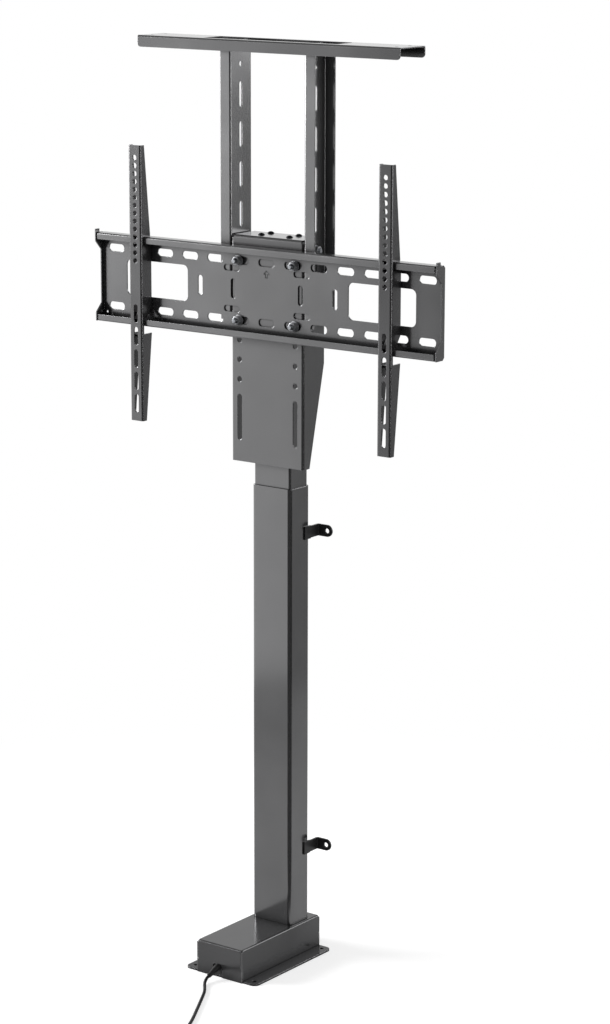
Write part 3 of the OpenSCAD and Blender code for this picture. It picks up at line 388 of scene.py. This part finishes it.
def finish_mesh(bm, name, body, material):
    """Closes a mesh, makes it an object that rides on a body, and names its finish."""
    bmesh.ops.remove_doubles(bm, verts=bm.verts, dist=2e-6)
    bmesh.ops.dissolve_degenerate(bm, edges=bm.edges, dist=1e-6)
    bmesh.ops.holes_fill(bm, edges=[e for e in bm.edges if e.is_boundary])
    bmesh.ops.recalc_face_normals(bm, faces=bm.faces)
    mesh = bpy.data.meshes.new(name)
    bm.to_mesh(mesh)
    bm.free()
    mesh.shade_smooth()
    mesh.set_sharp_from_angle(angle=math.radians(35))
    mesh.materials.append(material)
    made = bpy.data.objects.new(name, mesh)
    bpy.context.scene.collection.objects.link(made)
    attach(made, body)
    return made


bm = bmesh.new()
at_spindle = Matrix.Translation((0, spindle_y, 0))
threaded_rod(bm, spindle_r, spindle_thread, spindle_lead, two_starts,
             spindle_neck, spindle_top, tip_chamfer, at_spindle)
quad_rows(bm, [
    [at_spindle @ Vector((journal_r * math.cos(math.pi * k / 24),
                          journal_r * math.sin(math.pi * k / 24), z)) for k in range(48)]
    for z in (spindle_foot, spindle_neck)])
spindle_screw = finish_mesh(bm, "spindle_screw", "spindle", turned_steel)
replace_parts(spindle_screw, "spindle")

# Column
# Two rectangular welded tubes, 1.5 mm wall, one sliding in the other. The plug for the
# head screws is welded into the inner tube's top.
# A glossy coat, so that the rounded corners mirror the dim side of the room as dark lines
dress(powder_coat("powder_coat_column", "#7d7d7e", "#878788", "#b7b7b9", rough=(0.12, 0.16),
                  flake=0.9), "outer_tube", "inner_tube", "tube_plug")

# Glides and nut
# The collar in the outer tube's mouth and the sleeve on the inner tube's foot are
# moulded in black acetal, and the spindle nut in natural acetal.


def moulded(name, deep, light, rough):
    """Injection-moulded acetal or nylon: an even, waxy skin with the mould's fine texture."""
    material, tree = new_material(name)
    place = add(tree, "TexCoord").outputs["Object"]
    # Spark-eroded texture, drawn at 1 mm, coarser than the real one so that it shows
    spark = add(tree, "TexNoise", {"Vector": place, "Scale": 1 / 0.001, "Detail": 2.0}).outputs["Fac"]
    tone = add(tree, "Mix", {
        0: spark, 6: linear(deep), 7: linear(light)}, data_type="RGBA").outputs[2]
    gloss = add(tree, "MapRange", {
        "Value": spark, "To Min": rough[0], "To Max": rough[1]}).outputs["Result"]
    turned = add(tree, "Bevel", {"Radius": 0.0003}, samples=6).outputs["Normal"]
    skin = add(tree, "Bump", {
        "Height": spark, "Strength": 0.15, "Distance": 0.0001, "Normal": turned})
    shader = add(tree, "BsdfPrincipled", {
        "Base Color": tone, "Roughness": gloss, "IOR": 1.48, "Normal": skin.outputs["Normal"]})
    add(tree, "OutputMaterial", {"Surface": shader.outputs["BSDF"]})
    return material


dress(moulded("black_acetal", "#17171a", "#232326", (0.32, 0.46)), "mouth_glide", "foot_glide")
dress(moulded("natural_acetal", "#cfcbc0", "#dedbd2", (0.30, 0.42)), "spindle_nut")

# Wall straps
# Strips of 2.5 mm steel, bent once, with a foot welded to the tube's side and a rounded
# tab for the wall screw. Coated a deeper black than the column.
dress(powder_coat("powder_coat_straps", "#2b2b2c", "#363637", "#6c6c6e", rough=(0.24, 0.32),
                  flake=0.3),
      "strap_upper_left", "strap_upper_right", "strap_lower_left", "strap_lower_right")

# Head bracket
# 2.5 mm steel, punched with two rows of holes and folded back at its top and sides. Four
# button-head screws hold its top flange on the inner tube.
dress(powder_coat("powder_coat_head", "#79797a", "#838384", "#b7b7b9", rough=(0.12, 0.16)),
      "head_bracket")

# TV plate
# 2 mm steel, punched with slots and two cable windows, with its long edges turned to
# lips that the arms hook over, and its ends folded forward.
dress(powder_coat("powder_coat_plate", "#7e7e7f", "#888889", "#bdbdbf"), "wall_plate")

# Plate bolts
# Four M8 bolts through the head bracket's holes, with plain washers and hex nuts in
# front. Rolled thread of 1.25 mm pitch; the nuts are chamfered on both faces.
head_y, head_t = 0.023, 0.0025
plate_t, washer_t, nut_h, bolt_head_h = 0.002, 0.0016, 0.0065, 0.0053
bolt_r, bolt_flats, washer_r = 0.004, 0.013, 0.0085
washer_hole = bolt_r + 0.0001
stud_tip = 0.0055
thread_pitch, thread_depth = 0.00125, 0.00077
one_start = (0, 0.25, 0.6, 1, 1, 0.6, 0.25, 0)
plate_z, bolt_span_w, bolt_span_h = 1.078, 0.108, 0.093


def hex_block(bm, flats, hole, z0, z1, matrix, sides=72):
    """A hexagon along local Z with 30-degree chamfers, and a countersunk hole if it has one.
    The chamfers start on a circle 0.95 times as wide as the flats."""
    ring = 0.475 * flats
    sink_depth = 0.0005

    def corner(i):
        return flats / 2 / math.cos(math.radians((i * 360 / sides) % 60 - 30))

    def circle(radius, z):
        return [matrix @ Vector((radius * math.cos(2 * math.pi * i / sides),
                                 radius * math.sin(2 * math.pi * i / sides), z))
                for i in range(sides)]

    def outer(z, fall):
        return [matrix @ Vector((corner(i) * math.cos(2 * math.pi * i / sides),
                                 corner(i) * math.sin(2 * math.pi * i / sides),
                                 z + fall * (corner(i) - ring) * math.tan(math.pi / 6)))
                for i in range(sides)]

    rows = [circle(ring, z0), outer(z0, 1), outer(z1, -1), circle(ring, z1)]
    if hole:
        sink = hole + sink_depth
        rows = [circle(hole, z0 + sink_depth), circle(sink, z0)] + rows
        rows += [circle(sink, z1), circle(hole, z1 - sink_depth)]
        rows.append(rows[0])
    quad_rows(bm, rows)


def washer(bm, hole, r, z0, z1, matrix, sides=48):
    """A stamped washer, rounded on the side that the punch entered."""
    soft = 0.0004
    half_way = 0.3 * soft
    profile = [
        (hole, z0), (r, z0), (r, z1 - soft), (r - half_way, z1 - half_way), (r - soft, z1),
        (hole + soft, z1), (hole + half_way, z1 - half_way), (hole, z1 - soft), (hole, z0)]
    quad_rows(bm, [
        [matrix @ Vector((a * math.cos(2 * math.pi * i / sides),
                          a * math.sin(2 * math.pi * i / sides), z)) for i in range(sides)]
        for a, z in profile])


# Local Z points out of the plate, towards the front
plate_places = [
    Matrix.Translation((sx * bolt_span_w / 2, head_y, plate_z + sz * bolt_span_h / 2))
    @ Matrix.Rotation(math.pi / 2, 4, "X")
    for sx in (-1, 1) for sz in (-1, 1)]
nut_foot = plate_t + washer_t
black_zinc = plated("black_zinc_steel", "#7b7c7f", "#939497", (0.30, 0.42), bare=0.4)

bm = bmesh.new()
for at in plate_places:
    hex_block(bm, bolt_flats, None, -head_t - bolt_head_h, -head_t, at)
    threaded_rod(bm, bolt_r, thread_depth, thread_pitch, one_start,
                 -head_t, nut_foot + nut_h + stud_tip, tip_chamfer, at)
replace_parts(finish_mesh(bm, "plate_bolt_set", "lift", zinc_plate), "plate_bolts")

bm = bmesh.new()
for at in plate_places:
    washer(bm, washer_hole, washer_r, plate_t, nut_foot, at)
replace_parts(finish_mesh(bm, "plate_washer_set", "lift", black_zinc),
            "plate_washers")

bm = bmesh.new()
for at in plate_places:
    hex_block(bm, bolt_flats, bolt_r, nut_foot, nut_foot + nut_h, at)
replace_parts(finish_mesh(bm, "plate_nut_set", "lift", black_zinc), "plate_nuts")

# Up arrow
# The stamp that marks the plate's upper side. The shade in its struck edges is painted
# as a dark line round the stamp, 0.9 mm wide so that it shows.
arrow_h, arrow_w, arrow_head = 0.010, 0.003, 0.0045
arrow_z = plate_z + 0.029
arrow_y = head_y - plate_t
arrow_line, arrow_proud = 0.0009, 0.00008
arrow_neck = arrow_h / 2 - arrow_head
arrow_outline = [
    (0, arrow_h / 2), (-arrow_head, arrow_neck), (-arrow_w / 2, arrow_neck),
    (-arrow_w / 2, -arrow_h / 2), (arrow_w / 2, -arrow_h / 2), (arrow_w / 2, arrow_neck),
    (arrow_head, arrow_neck)]


def corner_out(outline, i, width):
    """The outline's corner i moved out by a width, along the bisector of its two sides."""
    before, here, after = (Vector(outline[k % len(outline)]) for k in (i - 1, i, i + 1))
    first, second = (here - before).normalized(), (after - here).normalized()
    out = Vector((-first.y, first.x)) + Vector((-second.y, second.x))
    return here - out * (width / (1 + first.dot(second)))


bm = bmesh.new()
rows = []
for width, y in ((0, arrow_y + arrow_proud), (0, arrow_y - arrow_proud),
                 (arrow_line, arrow_y - arrow_proud), (arrow_line, arrow_y + arrow_proud)):
    flat_row = [corner_out(arrow_outline, i, width) for i in range(len(arrow_outline))]
    rows.append([Vector((x, y, arrow_z + z)) for x, z in flat_row])
quad_rows(bm, rows + rows[:1])
# A near black coat that paints the shade along the stamp's edges
stamp_shade_coat = powder_coat("painted_shade_in_stamp", "#161617", "#1f1f20", "#19191a", flake=0.0)
finish_mesh(bm, "arrow_mark", "lift", stamp_shade_coat)

# TV arms
# Channels of 2 mm steel that hook over the plate's lips, with a row of round holes above
# and long slots below for the TV's screws. A screw under each one locks it.
dress(powder_coat("powder_coat_arms", "#6a6a6b", "#747475", "#aaaaac"), "arm_left", "arm_right")

# Lid frame
# Two channels of 2 mm steel with a row of height slots, and a folded bar on top with a
# long opening and four holes for the lid. M8 bolts hold the channels on the bracket.
dress(powder_coat("powder_coat_uprights", "#888889", "#929293", "#bdbdbf"),
      "upright_left", "upright_right")
# Little light gets into the bar's deep fold, so a longer reach of painted shade draws its inside near
# black
dress(powder_coat("powder_coat_lid_bar", "#747475", "#7e7e7f", "#b7b7b9", rough=(0.12, 0.16),
                  reach=0.065, closed=0.52), "lid_bar")

side_x, upright_t = 0.0702, 0.002
flange_x = 0.0675
lid_bolt_y, lid_bolt_z, lid_slot_pitch = 0.0495, 1.147, 0.0614
side_tip = 0.003

# Local Z points out to the side
side_places = []
for s in (-1, 1):
    for k in (0, 1):
        turn = Matrix(((0, 0, s), (s, 0, 0), (0, 1, 0))).to_4x4()
        height = lid_bolt_z - k * lid_slot_pitch
        side_places.append(Matrix.Translation((0, lid_bolt_y, height)) @ turn)
nut_foot = side_x + upright_t + washer_t

bm = bmesh.new()
for at in side_places:
    hex_block(bm, bolt_flats, None, flange_x - bolt_head_h, flange_x, at)
    threaded_rod(bm, bolt_r, thread_depth, thread_pitch, one_start,
                 flange_x, nut_foot + nut_h + side_tip, tip_chamfer, at)
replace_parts(finish_mesh(bm, "upright_bolt_set", "lift", zinc_plate),
            "upright_bolts")

bm = bmesh.new()
for at in side_places:
    washer(bm, washer_hole, washer_r, side_x + upright_t, nut_foot, at)
    hex_block(bm, bolt_flats, bolt_r, nut_foot, nut_foot + nut_h, at)
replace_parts(finish_mesh(bm, "upright_nut_set", "lift", black_zinc), "upright_nuts")

# Grommet and connector
# The grommet is moulded in soft rubber and closes the cover's notch round the cable. The
# connector for the control box is a round shell of black nylon.

# Moulded rubber: near black and matt, with a faint greyish bloom
grommet_rubber, tree = new_material("moulded_rubber")
place = add(tree, "TexCoord").outputs["Object"]
bloom = add(tree, "TexNoise", {"Vector": place, "Scale": 1 / 0.003, "Detail": 4.0}).outputs["Fac"]
tone = add(tree, "Mix", {
    0: bloom, 6: linear("#131314"), 7: linear("#222223")}, data_type="RGBA").outputs[2]
gloss = add(tree, "MapRange", {"Value": bloom, "To Min": 0.45, "To Max": 0.62}).outputs["Result"]
skin = add(tree, "Bump", {"Height": bloom, "Strength": 0.1, "Distance": 0.0002}).outputs["Normal"]
shader = add(tree, "BsdfPrincipled", {
    "Base Color": tone, "Roughness": gloss, "IOR": 1.52, "Normal": skin})
add(tree, "OutputMaterial", {"Surface": shader.outputs["BSDF"]})
dress(grommet_rubber, "strain_relief")
dress(moulded("black_nylon", "#1a1a1c", "#26262a", (0.34, 0.48)), "connector")

# Floor
# A pale studio floor that keeps the object's shadow and fades into the white backdrop,
# between 0.6 and 1.3 m from the column.
floor_r = 1.6
fade_from, fade_to = 0.6, 1.3
floor_glow, gloss_share = 0.53, 0.45
towards_camera, right_of_camera = (0.594, -0.804, 0.0), (0.804, 0.594, 0.0)
bm = bmesh.new()
bmesh.ops.create_circle(bm, cap_ends=True, segments=96, radius=floor_r)
mesh = bpy.data.meshes.new("studio_floor")
bm.to_mesh(mesh)
bm.free()
studio_floor = bpy.data.objects.new("studio_floor", mesh)
bpy.context.scene.collection.objects.link(studio_floor)

painted_floor, tree = new_material("painted_floor")
place = add(tree, "TexCoord").outputs["Object"]
distance = add(tree, "VectorMath", {0: place}, operation="LENGTH").outputs["Value"]
away = add(tree, "MapRange", {"Value": distance, "From Min": fade_from, "From Max": fade_to},
           interpolation_type="SMOOTHSTEP").outputs["Result"]
path = add(tree, "LightPath")
# The coat's gloss shows the floor at under half its brightness, as a room's floor would be
in_gloss = path.outputs["Is Glossy Ray"]
paint_tone = add(tree, "Mix", {
    0: in_gloss, 6: linear("#f1f1f1"), 7: linear("#b0b0b0")}, data_type="RGBA").outputs[2]
paint = add(tree, "BsdfDiffuse", {"Color": paint_tone})
plain = add(tree, "Math", {
    0: path.outputs["Is Camera Ray"], 1: path.outputs["Is Transmission Ray"]},
    operation="ADD").outputs[0]
seen = add(tree, "Math", {
    0: in_gloss, 1: gloss_share, 2: plain}, operation="MULTIPLY_ADD").outputs[0]
lift = add(tree, "Math", {0: seen, 1: floor_glow}, operation="MULTIPLY").outputs[0]
glow = add(tree, "Emission", {"Color": (1, 1, 1, 1), "Strength": lift})
near = add(tree, "AddShader", {0: paint.outputs["BSDF"], 1: glow.outputs["Emission"]})
white = add(tree, "Emission", {"Color": (1, 1, 1, 1), "Strength": seen})
shown = add(tree, "Math", {
    0: plain, 1: in_gloss}, operation="ADD", use_clamp=True).outputs[0]
edge = add(tree, "Math", {0: away, 1: shown}, operation="MULTIPLY").outputs[0]
lit = add(tree, "MixShader", {0: edge, 1: near.outputs["Shader"], 2: white.outputs["Emission"]})
# Towards the camera the room is dim, so the gloss finds no bright floor there, from a
# little way in front of the base
forwards = add(tree, "VectorMath", {
    0: place, 1: towards_camera}, operation="DOT_PRODUCT").outputs["Value"]
bearing = add(tree, "Math", {0: forwards, 1: distance}, operation="DIVIDE").outputs[0]
shaded = add(tree, "MapRange", {"Value": bearing, "From Min": 0.30, "From Max": 0.50},
             interpolation_type="SMOOTHSTEP").outputs["Result"]
past_base = add(tree, "MapRange", {"Value": forwards, "From Min": 0.14, "From Max": 0.24},
                interpolation_type="SMOOTHSTEP").outputs["Result"]
shaded = add(tree, "Math", {0: shaded, 1: past_base}, operation="MULTIPLY").outputs[0]
shaded = add(tree, "Math", {0: shaded, 1: in_gloss}, operation="MULTIPLY").outputs[0]
dim = add(tree, "Emission", {"Color": (1, 1, 1, 1), "Strength": 0.06})
surface = add(tree, "MixShader", {
    0: shaded, 1: lit.outputs["Shader"], 2: dim.outputs["Emission"]})
add(tree, "OutputMaterial", {"Surface": surface.outputs["Shader"]})
studio_floor.data.materials.append(painted_floor)

# Light
# A large soft box at the front left, a box and a strip at the right and one behind, in a
# room that is white behind the object and dim on the camera's side.


def soft_box(name, place, target, size, watts):
    """A square area light that points at a place on the object."""
    lamp = bpy.data.lights.new(name, "AREA")
    lamp.shape = "RECTANGLE"
    lamp.size, lamp.size_y = size
    lamp.energy = watts
    holder = bpy.data.objects.new(name, lamp)
    holder.location = place
    holder.rotation_euler = (Vector(target) - Vector(place)).to_track_quat("-Z", "Y").to_euler()
    bpy.context.scene.collection.objects.link(holder)


soft_box("front_left_box", (-5.5, -2.9, 2.4), (0, 0, 0.8), (3.0, 3.4), 500)
soft_box("right_box", (3.2, 1.9, 1.9), (0, 0, 0.9), (1.2, 2.4), 14)
soft_box("right_strip", (4.2, -0.8, 1.7), (0, 0, 0.9), (0.7, 2.8), 38)
soft_box("back_box", (2.0, 3.2, 2.2), (0, 0, 0.9), (1.6, 2.0), 30)

world = bpy.data.worlds.new("studio")
bpy.context.scene.world = world
world.use_nodes = True
tree = world.node_tree
tree.nodes.clear()
way = add(tree, "TexCoord").outputs["Generated"]
# The room as gloss shows it: dim on the camera's side and to its right, white elsewhere
# near the horizon, and dimmer high up
towards = add(tree, "VectorMath", {
    0: way, 1: towards_camera}, operation="DOT_PRODUCT").outputs["Value"]
camera_side = add(tree, "MapRange", {
    "Value": towards, "From Min": 0.27, "From Max": 0.36, "To Min": 1.0, "To Max": 0.06},
    interpolation_type="SMOOTHSTEP").outputs["Result"]
rightwards = add(tree, "VectorMath", {
    0: way, 1: right_of_camera}, operation="DOT_PRODUCT").outputs["Value"]
right_side = add(tree, "MapRange", {
    "Value": rightwards, "From Min": 0.2, "From Max": 0.8, "To Min": 1.0, "To Max": 0.29},
    interpolation_type="SMOOTHSTEP").outputs["Result"]
height = add(tree, "SeparateXYZ", {"Vector": way}).outputs["Z"]
ceiling = add(tree, "MapRange", {
    "Value": height, "From Min": 0.28, "From Max": 0.50, "To Min": 1.0, "To Max": 0.30},
    interpolation_type="SMOOTHSTEP").outputs["Result"]
shown = add(tree, "Math", {0: camera_side, 1: right_side}, operation="MULTIPLY").outputs[0]
shown = add(tree, "Math", {0: shown, 1: ceiling}, operation="MULTIPLY").outputs[0]
path = add(tree, "LightPath")
mirrored = add(tree, "Math", {
    0: path.outputs["Is Glossy Ray"], 1: path.outputs["Is Transmission Ray"]},
    operation="ADD", use_clamp=True).outputs[0]
# Light that matt surfaces gather is a quarter of white, and the backdrop itself is white
ambient = add(tree, "Mix", {0: mirrored, 2: 0.25, 3: shown}, data_type="FLOAT").outputs[0]
strength = add(tree, "Mix", {
    0: path.outputs["Is Camera Ray"], 2: ambient, 3: 1.0}, data_type="FLOAT").outputs[0]
sky = add(tree, "Background", {"Color": (1, 1, 1, 1), "Strength": strength})
add(tree, "OutputWorld", {"Surface": sky.outputs["Background"]})
bpy.context.scene.view_settings.view_transform = "Standard"
